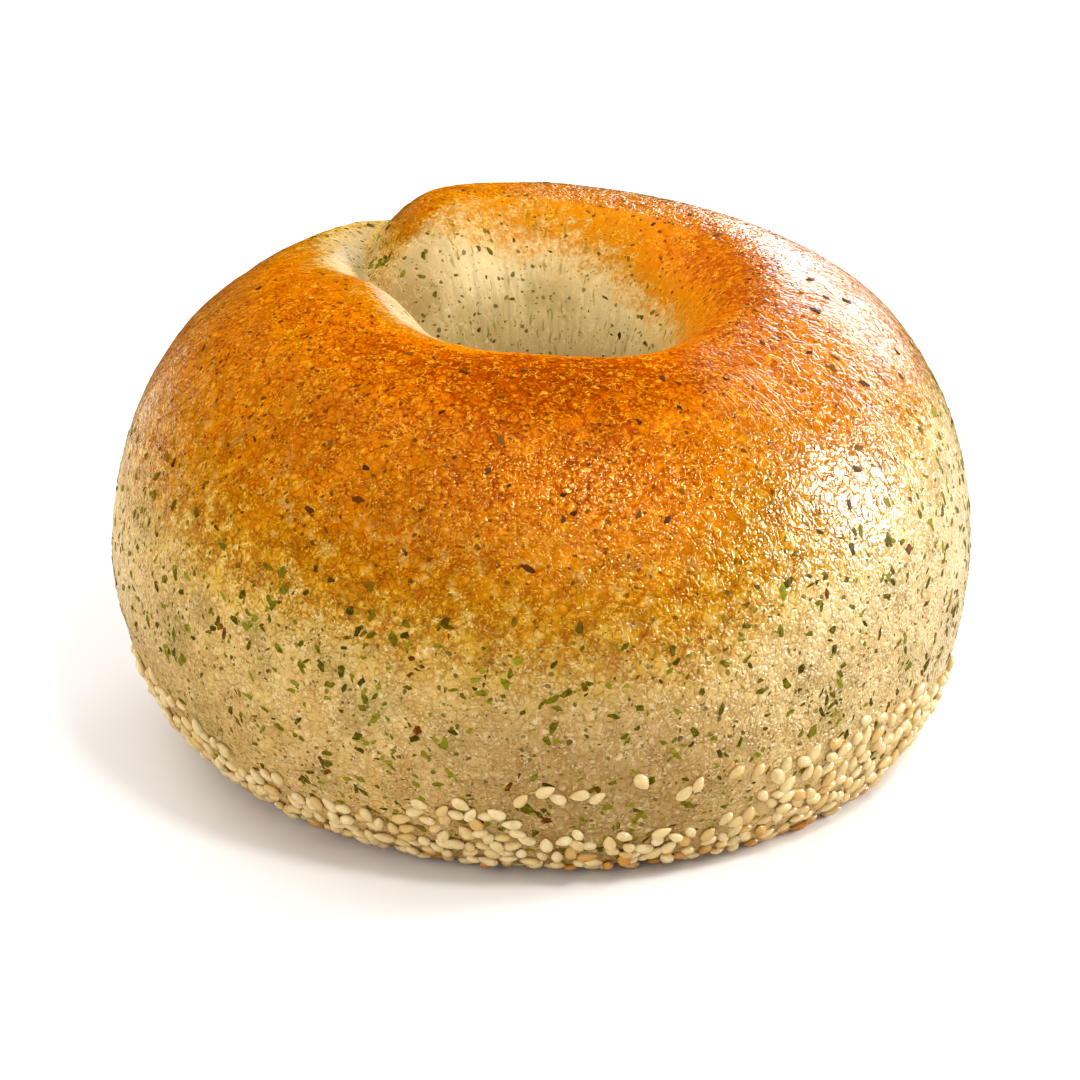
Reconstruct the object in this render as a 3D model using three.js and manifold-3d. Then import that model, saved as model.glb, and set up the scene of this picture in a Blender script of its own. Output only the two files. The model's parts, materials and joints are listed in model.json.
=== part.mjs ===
// A baked herb bagel with sesame seeds round its foot, 112 mm across.
// Millimetres, +Z up. The origin is the middle of the flat base, under the hole, and the side
// where the rim of the hole dips lowest faces -Y.
import * as THREE from "three";
import { mergeVertices } from "three/addons/utils/BufferGeometryUtils.js";
import Module from "manifold-3d";

const wasm = await Module();
wasm.setup();

// ---- The dough: one rope, laid round the hole until its two ends pass each other ----

// The rope's section at a few angles, in degrees anticlockwise from +X. They run past 360 at the
// rear left, where the round second end lies against the first, which tucks in under it.
// crest: radius of the rope's highest line; waist: radius of the hole at its narrowest;
// top: height of the crest; outer: radius at the belly; foot: outer radius of the flat base.
const ROPE_STATIONS = [
  { angle: 92, crest: 48, waist: 40, top: 43, outer: 51, foot: 40 },
  { angle: 108, crest: 46, waist: 36, top: 51.5, outer: 53, foot: 40 },
  { angle: 124, crest: 43, waist: 30, top: 55, outer: 54.2, foot: 40 },
  { angle: 140, crest: 38, waist: 24, top: 56.6, outer: 55.2, foot: 40 },
  { angle: 160, crest: 31, waist: 16.5, top: 59, outer: 55.8, foot: 40 },
  { angle: 190, crest: 26, waist: 10, top: 62, outer: 56.4, foot: 40.5 },
  { angle: 230, crest: 27, waist: 8.5, top: 60.6, outer: 56.8, foot: 42 },
  { angle: 270, crest: 25, waist: 9, top: 59.8, outer: 55.6, foot: 44 },
  { angle: 315, crest: 27.5, waist: 10, top: 58.8, outer: 54.8, foot: 46 },
  { angle: 360, crest: 27, waist: 12, top: 59.8, outer: 55.6, foot: 46 },
  { angle: 405, crest: 29, waist: 12.5, top: 60.2, outer: 56.6, foot: 44.5 },
  { angle: 450, crest: 29, waist: 12.5, top: 61.8, outer: 56.2, foot: 42 },
  { angle: 478, crest: 27.5, waist: 13, top: 62.6, outer: 56.2, foot: 41.5 },
  { angle: 510, crest: 27, waist: 14, top: 62.6, outer: 56.2, foot: 41.5 },
];
const BELLY_HEIGHT = 25.3; // of the widest line outside
const WAIST_HEIGHT = 30; // of the narrowest line inside
const BASE_INNER = 20; // inner radius of the flat base
const BASE_FLARE = 6; // the least that the base stands back from the waist
const TOP_FULLNESS = 2.05; // exponents of the section's four quarters; 2 is an ellipse
const FOOT_FULLNESS = 1.84;
const HOLE_FULLNESS = 2;

// Each end of the rope is a round cap, shrinking to a point at its tip.
const TAIL = { tip: 92, length: 22, radius: 47, height: 25 }; // degrees, degrees, mm, mm
const LOBE = { tip: 505, length: 34, radius: 34, height: 26 };
const CAP_FOOT = 0.35; // exponent that keeps an end's underside flat almost to its tip
const LOBE_SLANT = 1.3; // degrees that the lobe's end turns back for each mm outwards
const LOBE_SLANT_PIVOT = 36; // radius that doesn't turn
const LOBE_SLANT_LENGTH = 70; // degrees over which the slant comes in
const JOIN_ANGLE = 300; // where the two lengths of rope meet, in degrees

const OUTER_SIDES = 13; // facets of the section from the foot to the crest
const INNER_SIDES = 10; // and from the crest down into the hole
const RING_STEP = 5.5; // degrees between sections
const CAP_RINGS = 9; // sections in a round end

// ---- The sesame seeds pressed into the foot ----

const SEED = { length: 2.9, width: 1.8, thickness: 1.05, sides: 5 };
const SEED_RINGS = [{ place: 0.3, width: 1 }, { place: 0.7, width: 0.72 }]; // shares of the above
const SEED_LARGEST = 1.12; // sizes run from the largest to the smallest
const SEED_SMALLEST = 0.88;
const SEED_PROUD = 0.08; // height of a seed's middle over the dough
const SEED_SPACING = 1.9; // least distance between seeds' middles
const SEED_CLEARANCE = 0.1; // seeds stay this far above the base
const SEED_TRIES = 40; // places tried for each seed before a band counts as full
const RANDOM_SEED = 7;

// Bands of seeds: from one angle to another, between two heights, with the number of seeds.
const SEED_BANDS = [
  { from: 204, to: 222, low: 6, high: 15, count: 11 }, // the left flank
  { from: 222, to: 254, low: 2.5, high: 11, count: 22 },
  { from: 253, to: 265, low: 6, high: 14, count: 9 }, // a clump at the front left
  { from: 265, to: 300, low: 14, high: 16.5, count: 9 }, // the thin upper row at the front
  { from: 256, to: 296, low: 1.5, high: 7.5, count: 22 }, // the thick row under it
  { from: 294, to: 296, low: 17, high: 18.5, count: 1 }, // one stray, higher up
  { from: 300, to: 338, low: 4, high: 16, count: 26 }, // a clump at the front right
  { from: 338, to: 384, low: 1.5, high: 12, count: 14 }, // round the back, more thinly
  { from: 384, to: 424, low: 1.5, high: 8, count: 9 },
  { from: 424, to: 462, low: 2, high: 13, count: 12 },
  { from: 462, to: 504, low: 1.5, high: 9, count: 10 },
  { from: 504, to: 564, low: 2, high: 14, count: 18 },
];

// ---- Helpers ----

const radians = THREE.MathUtils.degToRad;
const SLOPE_STEP = 0.1; // degrees between two points that give a slope of the skin

// The value of one column of the stations at an angle, by a cubic that never overshoots.
function stationValue(column, angle) {
  const x = ROPE_STATIONS.map((station) => station.angle);
  const y = ROPE_STATIONS.map((station) => station[column]);
  const last = x.length - 1;
  const slope = (i) => (y[i + 1] - y[i]) / (x[i + 1] - x[i]);
  const tangent = (i) => {
    if (i === 0 || i === last) return 0;
    const before = slope(i - 1);
    const after = slope(i);
    return before * after <= 0 ? 0 : (2 * before * after) / (before + after);
  };
  const at = THREE.MathUtils.clamp(angle, x[0], x[last]);
  const i = Math.min(x.findLastIndex((value) => value <= at), last - 1);
  const width = x[i + 1] - x[i];
  const t = (at - x[i]) / width;
  return (
    y[i] * (1 + 2 * t) * (1 - t) ** 2 +
    y[i + 1] * t ** 2 * (3 - 2 * t) +
    width * t * (1 - t) * (tangent(i) * (1 - t) - tangent(i + 1) * t)
  );
}

// How much of the full section is left at an angle: 1 along the rope, 0 at both tips.
function capScale(angle) {
  const share = (distance, length) => {
    const rest = 1 - THREE.MathUtils.clamp(distance / length, 0, 1);
    return Math.sqrt(1 - rest ** 2);
  };
  return share(angle - TAIL.tip, TAIL.length) * share(LOBE.tip - angle, LOBE.length);
}

// A point of the rope's skin. turn goes round the section, in degrees: -90 at the foot's edge,
// 0 at the belly, 90 at the crest, 180 at the waist and 270 at the base's inner edge.
function skinPoint(angle, turn) {
  const crest = stationValue("crest", angle);
  const waist = stationValue("waist", angle);
  const top = stationValue("top", angle);
  const outer = stationValue("outer", angle);
  const foot = stationValue("foot", angle);
  const baseInner = Math.max(BASE_INNER, waist + BASE_FLARE);
  const across = Math.abs(Math.cos(radians(turn)));
  const along = Math.abs(Math.sin(radians(turn)));
  const power = (value, fullness) => value ** (2 / fullness);
  let radius;
  let height;
  if (turn <= 0) {
    radius = foot + (outer - foot) * power(across, FOOT_FULLNESS);
    height = BELLY_HEIGHT * (1 - power(along, FOOT_FULLNESS));
  } else if (turn <= 90) {
    radius = crest + (outer - crest) * power(across, TOP_FULLNESS);
    height = BELLY_HEIGHT + (top - BELLY_HEIGHT) * power(along, TOP_FULLNESS);
  } else if (turn <= 180) {
    radius = crest - (crest - waist) * power(across, HOLE_FULLNESS);
    height = WAIST_HEIGHT + (top - WAIST_HEIGHT) * power(along, HOLE_FULLNESS);
  } else {
    radius = baseInner - (baseInner - waist) * power(across, FOOT_FULLNESS);
    height = WAIST_HEIGHT * (1 - power(along, FOOT_FULLNESS));
  }
  const end = angle < JOIN_ANGLE ? TAIL : LOBE;
  const scale = capScale(angle);
  radius = end.radius + (radius - end.radius) * scale;
  height = end.height + (height - end.height) * scale ** (height < end.height ? CAP_FOOT : 1);
  const slantStart = LOBE.tip - LOBE_SLANT_LENGTH;
  const slant = LOBE_SLANT * THREE.MathUtils.smoothstep(angle, slantStart, LOBE.tip);
  const bearing = radians(angle - slant * (radius - LOBE_SLANT_PIVOT));
  return new THREE.Vector3(radius * Math.cos(bearing), radius * Math.sin(bearing), height);
}

// The turns at which a section has its corners, from the foot's edge round to the base's inner edge.
function sectionTurns() {
  const outside = Array.from({ length: OUTER_SIDES }, (_, i) => -90 + (180 * i) / OUTER_SIDES);
  const inside = Array.from({ length: INNER_SIDES + 1 }, (_, i) => 90 + (180 * i) / INNER_SIDES);
  return [...outside, ...inside];
}

// The angles of the sections in a round end, from its tip inwards, the tip itself left out.
function capAngles(end, direction) {
  return Array.from({ length: CAP_RINGS }, (_, i) => {
    const quarter = ((i + 1) / CAP_RINGS) * (Math.PI / 2);
    return end.tip + direction * end.length * (1 - Math.cos(quarter));
  });
}

// A closed length of rope through the given angles, with a middle point at each end.
function ropeLength(angles, startPoint, endPoint) {
  const turns = sectionTurns();
  const count = turns.length;
  const points = [startPoint, endPoint];
  for (const angle of angles) {
    for (const turn of turns) points.push(skinPoint(angle, turn));
  }
  const corner = (ring, i) => 2 + ring * count + (i % count);
  const faces = [];
  for (let i = 0; i < count; i++) {
    faces.push(0, corner(0, i), corner(0, i + 1));
    for (let ring = 0; ring + 1 < angles.length; ring++) {
      faces.push(corner(ring, i), corner(ring + 1, i), corner(ring + 1, i + 1));
      faces.push(corner(ring, i), corner(ring + 1, i + 1), corner(ring, i + 1));
    }
    faces.push(1, corner(angles.length - 1, i + 1), corner(angles.length - 1, i));
  }
  const geometry = new THREE.BufferGeometry().setFromPoints(points);
  geometry.setIndex(faces);
  return geometry;
}

// A solid of the boolean library from a closed geometry.
function toSolid(geometry) {
  const merged = mergeVertices(geometry);
  return new wasm.Manifold(
    new wasm.Mesh({
      numProp: 3,
      vertProperties: new Float32Array(merged.attributes.position.array),
      triVerts: new Uint32Array(merged.index.array),
    })
  );
}

// The geometry of a solid, with each facet shaded flat.
function toGeometry(solid) {
  const mesh = solid.getMesh();
  const geometry = new THREE.BufferGeometry();
  geometry.setAttribute("position", new THREE.BufferAttribute(mesh.vertProperties, 3));
  geometry.setIndex(new THREE.BufferAttribute(mesh.triVerts, 1));
  const faceted = geometry.toNonIndexed();
  faceted.computeVertexNormals();
  return faceted;
}

// Random numbers from 0 to 1, the same on every run.
function randomSource(start) {
  let state = start;
  return () => {
    state = (state + 0x6d2b79f5) | 0;
    let mixed = Math.imul(state ^ (state >>> 15), 1 | state);
    mixed = (mixed + Math.imul(mixed ^ (mixed >>> 7), 61 | mixed)) ^ mixed;
    return ((mixed ^ (mixed >>> 14)) >>> 0) / 4294967296;
  };
}

// ---- Sub-parts ----

// The two lengths of rope, joined where they meet and where their ends pass.
function makeDough() {
  const evenAngles = (from, to) => {
    const steps = Math.ceil((to - from) / RING_STEP);
    return Array.from({ length: steps }, (_, i) => from + ((to - from) * (i + 1)) / steps);
  };
  const middle = sectionTurns()
    .reduce((sum, turn) => sum.add(skinPoint(JOIN_ANGLE, turn)), new THREE.Vector3())
    .divideScalar(sectionTurns().length);
  const tailAngles = capAngles(TAIL, 1);
  tailAngles.push(...evenAngles(tailAngles.at(-1), JOIN_ANGLE));
  const lobeAngles = capAngles(LOBE, -1).reverse();
  lobeAngles.unshift(JOIN_ANGLE, ...evenAngles(JOIN_ANGLE, lobeAngles[0]).slice(0, -1));
  const tail = toSolid(ropeLength(tailAngles, skinPoint(TAIL.tip, 0), middle));
  const lobe = toSolid(ropeLength(lobeAngles, middle, skinPoint(LOBE.tip, 0)));
  return tail.add(lobe);
}

// One flat teardrop seed along +Y, lying in the plane of X and Y.
function seedGeometry() {
  const profile = [
    new THREE.Vector2(0, -SEED.length / 2),
    ...SEED_RINGS.map(
      (ring) => new THREE.Vector2((ring.width * SEED.width) / 2, (ring.place - 0.5) * SEED.length)
    ),
    new THREE.Vector2(0, SEED.length / 2),
  ];
  const geometry = new THREE.LatheGeometry(profile, SEED.sides);
  geometry.deleteAttribute("normal");
  geometry.deleteAttribute("uv");
  return geometry.scale(1, 1, SEED.thickness / SEED.width);
}

// Where the seeds lie: each a matrix that puts a seed on the dough. The sizes go down band by band.
function seedPlaces() {
  const random = randomSource(RANDOM_SEED);
  const total = SEED_BANDS.reduce((sum, band) => sum + band.count, 0);
  const places = [];
  const middles = [];
  for (const band of SEED_BANDS) {
    for (let placed = 0, tries = 0; placed < band.count && tries < band.count * SEED_TRIES; tries++) {
      const angle = THREE.MathUtils.lerp(band.from, band.to, random());
      const height = THREE.MathUtils.lerp(band.low, band.high, random());
      const heading = random() * Math.PI * 2;
      const rise = (1 - height / BELLY_HEIGHT) ** (FOOT_FULLNESS / 2);
      const turn = -THREE.MathUtils.radToDeg(Math.asin(rise));
      const onRope = angle > LOBE.tip - LOBE.length ? angle - 360 : angle;
      const middle = skinPoint(onRope, turn);
      if (middles.some((other) => other.distanceTo(middle) < SEED_SPACING)) continue;
      const round = skinPoint(onRope + SLOPE_STEP, turn).sub(middle).normalize();
      const up = skinPoint(onRope, turn + SLOPE_STEP).sub(middle).normalize();
      const normal = round.clone().cross(up);
      const along = round.clone().applyAxisAngle(normal, heading);
      const across = along.clone().cross(normal);
      const size = THREE.MathUtils.lerp(SEED_LARGEST, SEED_SMALLEST, middles.length / total);
      const matrix = new THREE.Matrix4().makeBasis(across, along, normal);
      matrix.scale(new THREE.Vector3(size, size, size));
      matrix.setPosition(middle.clone().addScaledVector(normal, SEED_PROUD));
      places.push(matrix);
      middles.push(middle);
      placed++;
    }
  }
  return places;
}

// The seeds as solids, without any that would reach down to the base.
function makeSeeds() {
  const seed = seedGeometry();
  return seedPlaces()
    .map((matrix) => seed.clone().applyMatrix4(matrix))
    .filter((geometry) => {
      geometry.computeBoundingBox();
      return geometry.boundingBox.min.z > SEED_CLEARANCE;
    })
    .map(toSolid);
}

// The largest closed body of a solid, so that sealed pockets are filled and scraps dropped.
function mainBody(solid) {
  return solid.decompose().reduce((best, body) => (body.volume() > best.volume() ? body : best));
}

const crust = new THREE.MeshStandardMaterial({ color: 0xc98f45, roughness: 0.5, metalness: 0 });
const seededDough = mainBody(wasm.Manifold.union([makeDough(), ...makeSeeds()]));
const bagel = new THREE.Mesh(toGeometry(seededDough), crust);
bagel.name = "bagel";

const part = new THREE.Group();
part.add(bagel);
export default part;
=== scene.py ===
# A baked herb bagel with sesame seeds round its foot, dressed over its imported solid.
# Metres, +Z up, with the hole round the Z axis and the front facing -Y.
import json
import math

import bmesh
import bpy
import numpy as np
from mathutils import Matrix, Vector

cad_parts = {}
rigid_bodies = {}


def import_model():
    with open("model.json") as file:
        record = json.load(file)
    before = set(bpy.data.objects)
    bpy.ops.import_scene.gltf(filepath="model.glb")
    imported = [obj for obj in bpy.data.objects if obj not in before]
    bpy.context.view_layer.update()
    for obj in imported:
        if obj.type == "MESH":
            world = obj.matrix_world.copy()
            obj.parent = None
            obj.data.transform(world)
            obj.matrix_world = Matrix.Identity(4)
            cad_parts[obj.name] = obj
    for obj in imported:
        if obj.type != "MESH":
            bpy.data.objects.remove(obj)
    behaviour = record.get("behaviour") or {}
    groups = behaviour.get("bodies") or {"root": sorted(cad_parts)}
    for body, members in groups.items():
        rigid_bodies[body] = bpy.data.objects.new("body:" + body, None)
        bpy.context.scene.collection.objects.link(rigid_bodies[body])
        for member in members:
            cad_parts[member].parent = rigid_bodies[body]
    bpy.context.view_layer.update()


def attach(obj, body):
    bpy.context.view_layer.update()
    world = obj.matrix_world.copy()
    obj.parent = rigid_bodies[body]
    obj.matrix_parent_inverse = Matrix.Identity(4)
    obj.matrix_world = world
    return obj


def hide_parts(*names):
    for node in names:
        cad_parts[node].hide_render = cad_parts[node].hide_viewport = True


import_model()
mm = 0.001


# ---- Dough ----
# The body is one rope of soft herb dough, laid in a ring on the tray and baked. Its two ends
# pass each other at the rear left: the thin tail tucks in under the round lobe, and the oven
# fuses them along a groove that runs from the hole to the outside.

rope_stations = {  # degrees anticlockwise from +X: crest, waist, top, outer, foot, all in mm
    92: (48, 40, 43, 51, 40),
    108: (46, 36, 51.5, 53, 40),
    124: (43, 30, 55, 54.2, 40),
    140: (38, 24, 56.6, 55.2, 40),
    160: (31, 16.5, 59, 55.8, 40),
    190: (26, 10, 62, 56.4, 40.5),
    230: (27, 8.5, 60.6, 56.8, 42),
    270: (25, 9, 59.8, 55.6, 44),
    315: (27.5, 10, 58.8, 54.8, 46),
    360: (27, 12, 59.8, 55.6, 46),
    405: (29, 12.5, 60.2, 56.6, 44.5),
    450: (29, 12.5, 61.8, 56.2, 42),
    478: (27.5, 13, 62.6, 56.2, 41.5),
    510: (27, 14, 62.6, 56.2, 41.5),
}
belly_height, waist_height = 25.3, 30.0
base_inner, base_flare = 20.0, 6.0
top_fullness, foot_fullness, hole_fullness = 2.05, 1.84, 2.0
tail_tip, tail_length, tail_radius, tail_height = 92.0, 22.0, 47.0, 25.0
lobe_tip, lobe_length, lobe_radius, lobe_height = 505.0, 34.0, 34.0, 26.0
cap_foot = 0.35
lobe_slant, slant_pivot, slant_length = 1.3, 36.0, 70.0
join_angle = 300.0
base_lift = 0.45 * mm  # the seeds under the base hold the dough this far off the table
weld_reach = 0.01 * mm  # points closer than this are one: the rope's two tips
skin_cell = 0.73 * mm  # of the even mesh that the two ends are fused in
settle_share, settle_passes = 0.5, 8  # of the smoothing that takes the cells' steps away


def smooth_step(low, high, value):
    t = np.clip((value - low) / (high - low), 0, 1)
    return t * t * (3 - 2 * t)


def through(stations, angle):
    """A cubic through {angle: value} that never overshoots."""
    x = np.array(list(stations), float)
    y = np.array(list(stations.values()), float)
    slope = np.diff(y) / np.diff(x)
    tangent = np.zeros(len(x))
    before, after = slope[:-1], slope[1:]
    turning = before * after <= 0
    tangent[1:-1] = np.where(turning, 0, 2 * before * after / np.where(turning, 1, before + after))
    at = np.clip(angle, x[0], x[-1])
    i = np.clip(np.searchsorted(x, at, side="right") - 1, 0, len(x) - 2)
    width = x[i + 1] - x[i]
    t = (at - x[i]) / width
    ends = y[i] * (1 + 2 * t) * (1 - t) ** 2 + y[i + 1] * t**2 * (3 - 2 * t)
    return ends + width * t * (1 - t) * (tangent[i] * (1 - t) - tangent[i + 1] * t)


def rope_skin(angle, turn):
    """Points of the rope's skin, in mm. turn goes round the section from the foot's edge, at -90,
    by the belly, the crest and the waist to the base's inner edge, at 270."""
    crest, waist, top, outer, foot = (
        through({key: row[column] for key, row in rope_stations.items()}, angle) for column in range(5)
    )
    inner = np.maximum(base_inner, waist + base_flare)
    across, along = np.abs(np.cos(np.radians(turn))), np.abs(np.sin(np.radians(turn)))
    quarters = (
        (turn <= 0, foot, outer, foot_fullness, 0 * top, belly_height),
        (turn <= 90, crest, outer, top_fullness, top, belly_height),
        (turn <= 180, crest, waist, hole_fullness, top, waist_height),
        (turn > 180, inner, waist, foot_fullness, 0 * top, waist_height),
    )
    radius = np.select(
        [quarter[0] for quarter in quarters],
        [far + (side - far) * across ** (2 / full) for _, far, side, full, _, _ in quarters],
    )
    height = np.select(
        [quarter[0] for quarter in quarters],
        [level + (end - level) * along ** (2 / full) for _, _, _, full, end, level in quarters],
    )
    in_tail = angle < join_angle
    end_radius = np.where(in_tail, tail_radius, lobe_radius)
    end_height = np.where(in_tail, tail_height, lobe_height)
    left = np.where(in_tail, (angle - tail_tip) / tail_length, (lobe_tip - angle) / lobe_length)
    scale = np.sqrt(1 - (1 - np.clip(left, 0, 1)) ** 2)
    radius = end_radius + (radius - end_radius) * scale
    height = end_height + (height - end_height) * np.where(height < end_height, scale**cap_foot, scale)
    slant = lobe_slant * smooth_step(lobe_tip - slant_length, lobe_tip, angle)
    bearing = np.radians(angle - slant * (radius - slant_pivot))
    return np.stack([radius * np.cos(bearing), radius * np.sin(bearing), height], -1)


def made_mesh(name, vertices, faces):
    mesh = bpy.data.meshes.new(name)
    mesh.from_pydata([tuple(v) for v in vertices], [], faces)
    mesh.validate()
    return mesh


def shown(name, mesh):
    piece = bpy.data.objects.new(name, mesh)
    bpy.context.scene.collection.objects.link(piece)
    return piece


def applied(piece, name):
    """The piece with its modifiers turned into a plain mesh of its own."""
    depsgraph = bpy.context.evaluated_depsgraph_get()
    mesh = bpy.data.meshes.new_from_object(piece.evaluated_get(depsgraph))
    bpy.data.objects.remove(piece)
    return shown(name, mesh)


rings, sides = 420, 180  # sections along the rope, and points round a section
crowding = 0.35  # how far the sections crowd towards the two ends
even_angles = np.linspace(tail_tip, lobe_tip, rings)
crowded_angles = tail_tip + (lobe_tip - tail_tip) * 0.5 * (1 - np.cos(np.linspace(0, np.pi, rings)))
ring_angles = crowding * crowded_angles + (1 - crowding) * even_angles
section_turns = np.linspace(-90, 270, sides)
skin = rope_skin(*np.meshgrid(ring_angles, section_turns, indexing="ij")).reshape(-1, 3)
tube = [
    (a * sides + b, (a + 1) * sides + b, (a + 1) * sides + (b + 1) % sides, a * sides + (b + 1) % sides)
    for a in range(rings - 1)
    for b in range(sides)
]
rope = made_mesh("rope", skin * mm, tube)
weld = bmesh.new()
weld.from_mesh(rope)
bmesh.ops.remove_doubles(weld, verts=weld.verts, dist=weld_reach)
bmesh.ops.recalc_face_normals(weld, faces=weld.faces)
weld.to_mesh(rope)
weld.free()

dough = shown("rope", rope)
fuse = dough.modifiers.new("fuse", "REMESH")
fuse.mode = "VOXEL"
fuse.voxel_size = skin_cell
fuse.use_smooth_shade = True
settle = dough.modifiers.new("settle", "SMOOTH")
settle.factor = settle_share
settle.iterations = settle_passes
dough = applied(dough, "dough")


def mesh_points(mesh):
    values = np.empty(len(mesh.vertices) * 3)
    mesh.vertices.foreach_get("co", values)
    return values.reshape(-1, 3)


def mesh_normals(mesh):
    values = np.empty(len(mesh.vertices) * 3)
    mesh.vertex_normals.foreach_get("vector", values)
    return values.reshape(-1, 3)


def set_points(mesh, points):
    mesh.vertices.foreach_set("co", points.ravel())
    mesh.update()


def store(mesh, name, values):
    layer = mesh.attributes.new(name, "FLOAT", "POINT")
    layer.data.foreach_set("value", np.asarray(values, np.float32))


points = mesh_points(dough.data)
highest = points[:, 2].max()
points[:, 2] += base_lift * (1 - points[:, 2] / highest)
set_points(dough.data, points)

# How brown each spot is. The top of the crust is brown down to a wavy line on the side, and the
# skin inside the hole, in the groove and low on the side stays pale. The base is brown again.
brown_line = {  # degrees: height in mm at which the side is more than half brown
    0: 52.5, 24: 51, 60: 48.5, 100: 47, 140: 47, 180: 48, 205: 48.5, 225: 47.5, 240: 45.5, 251: 44.5,
    264: 44, 277: 43, 287: 41.5, 295: 43.5, 304: 47.5, 314: 47.5, 326: 48.5, 340: 51.5, 360: 52.5,
}
hole_line = {  # degrees: height in mm at which the hole's wall is half brown
    0: 50, 24: 51, 50: 53.5, 70: 55.5, 99: 58, 125: 61.5, 145: 61.5, 165: 61, 205: 61,
    235: 59.5, 270: 57, 300: 54, 330: 51, 347: 50, 360: 50,
}
hole_fade = {0: 17, 60: 19, 110: 18, 150: 11, 200: 8, 250: 9, 300: 12, 360: 17}  # mm to be brown in
brown_fade = {0: 15, 60: 22, 120: 24, 290: 24, 315: 20, 340: 15, 360: 15}  # mm to be brown in
tail_line = 51.0  # mm: the tail is lower than the crest of the ring, so its inner side browns lower
tail_reach, tail_from, tail_to = 33.0, 115.0, 175.0  # mm from the axis, and degrees: the tail's skin
top_brown = {  # degrees: how brown the top gets, where 1 is scorched
    0: 0.82, 30: 0.8, 52: 0.7, 70: 0.6, 97: 0.56, 125: 0.6, 150: 0.7, 180: 0.74, 215: 0.79, 245: 0.84,
    268: 0.9, 285: 0.86, 300: 0.8, 330: 0.78, 360: 0.82,
}
dark_spots = [  # in mm: where the top is scorched, and how far round
    ((-16, -45, 50), 8.0),
    ((-29, -33, 55), 8.0),
    ((4, -30, 59), 9.0),
]
rim_pale = {0: -0.05, 120: -0.05, 150: -0.42, 190: -0.42, 215: -0.05, 360: -0.05}  # lean into the hole
wall_lean = 0.3  # the skin is the hole's wall from this lean on
rim_brown = 0.1  # how much browner the inner side of the crest is
rim_inner, rim_outer, hole_outer = 31.0, 38.0, 46.0  # mm from the axis
groove_path = np.array(  # mm: the bottom of the groove, from the hole to the outside
    [
        (-19.5, 10, 48),
        (-22.9, 14.3, 53.9),
        (-24.2, 24, 55.3),
        (-23.7, 33, 55.2),
        (-19, 43, 52),
        (-15.8, 48.5, 46),
    ]
)
groove_pale, tail_fade, lobe_fade = 1.6, 11.0, 7.0  # mm from the groove's bottom to its two sides
groove_brown = 0.1  # share of the browning that reaches the groove
lobe_face_low, lobe_face_high = 53.0, 61.5  # mm: the lobe's end is pale up to here and brown from here
lobe_face_near, lobe_face_far = 9.0, 15.0  # mm from the groove's bottom
base_brown_most, base_brown_low, base_brown_high = 0.62, 1.0, 3.5  # how brown the base is, and mm
gloss_bearing, gloss_spread = 5.0, 118.0  # degrees: the egg wash is thickest on this side
gloss_low, gloss_high = 26.0, 42.0  # mm: the wash thins out between these heights
dry_rear, dry_front, dry_fade = 14.0, 36.0, 20.0  # mm: the crest is dry left of these, rear and front
dry_wall = 0.75  # how dry the hole and the groove are
herb_knots, knot_radius = 240, 3.0  # spots where the herbs lie thick, and how far round in mm

normals = mesh_normals(dough.data)
x, y, z = (points / mm).T
reach = np.hypot(x, y)
bearing = np.degrees(np.arctan2(y, x)) % 360
inward = -(normals[:, 0] * x + normals[:, 1] * y) / reach
most_brown = through(top_brown, bearing) + rim_brown * smooth_step(rim_outer, rim_inner, reach)
over_line = (z - through(brown_line, bearing)) / through(brown_fade, bearing)
side_brown = most_brown * smooth_step(-0.85, 0.55, over_line)
from_groove = np.full(len(points), 1000.0)
lobe_side = np.zeros(len(points), bool)
for start, end in zip(groove_path, groove_path[1:]):
    stride = end - start
    along = np.clip((points / mm - start) @ stride / (stride @ stride), 0, 1)
    distance = np.linalg.norm(points / mm - start - along[:, None] * stride, axis=1)
    right_of = (x - start[0]) * stride[1] - (y - start[1]) * stride[0] > 0
    lobe_side = np.where(distance < from_groove, right_of, lobe_side)
    from_groove = np.minimum(from_groove, distance)
in_tail = ~lobe_side & (reach > tail_reach) & (bearing > tail_from) & (bearing < tail_to)
half_brown = np.where(in_tail, tail_line, through(hole_line, bearing))
hole_brown = smooth_step(-0.5, 0.5, (z - half_brown) / through(hole_fade, bearing))
rim_lean = through(rim_pale, bearing)
in_hole = smooth_step(rim_lean, wall_lean, inward) * smooth_step(hole_outer, rim_outer, reach)
fade = np.where(lobe_side, lobe_fade, tail_fade)
out_of_groove = smooth_step(0, 1, (from_groove - groove_pale) / fade)
lobe_face = lobe_side * smooth_step(lobe_face_far, lobe_face_near, from_groove)
out_of_groove *= 1 - lobe_face * smooth_step(lobe_face_high, lobe_face_low, z)
base_brown = smooth_step(-0.75, -0.97, normals[:, 2]) * smooth_step(base_brown_high, base_brown_low, z)
browning = side_brown * (1 - in_hole + in_hole * hole_brown)
browning *= groove_brown + (1 - groove_brown) * out_of_groove
browning = np.maximum(browning, base_brown_most * base_brown)
store(dough.data, "browning", browning)
store(dough.data, "hole", in_hole)
store(dough.data, "cleft", 1 - out_of_groove)
dry_from = dry_rear + (dry_front - dry_rear) * smooth_step(12, -10, y)
dry_crest = smooth_step(0.78, 0.93, normals[:, 2]) * smooth_step(dry_from, dry_from - dry_fade, x)
dry_spots = [dry_crest, dry_wall * in_hole, dry_wall * (1 - out_of_groove)]
store(dough.data, "dry", np.maximum.reduce(dry_spots))
turned = np.abs((bearing - gloss_bearing + 180) % 360 - 180)
gloss = smooth_step(gloss_spread, 0.45 * gloss_spread, turned)
store(dough.data, "gloss", gloss * smooth_step(gloss_low, gloss_high, z) * (1 - in_hole))
spots = [np.exp(-(((points / mm - np.array(spot)) / width) ** 2).sum(1)) for spot, width in dark_spots]
store(dough.data, "scorched", np.maximum.reduce(spots))

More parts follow.
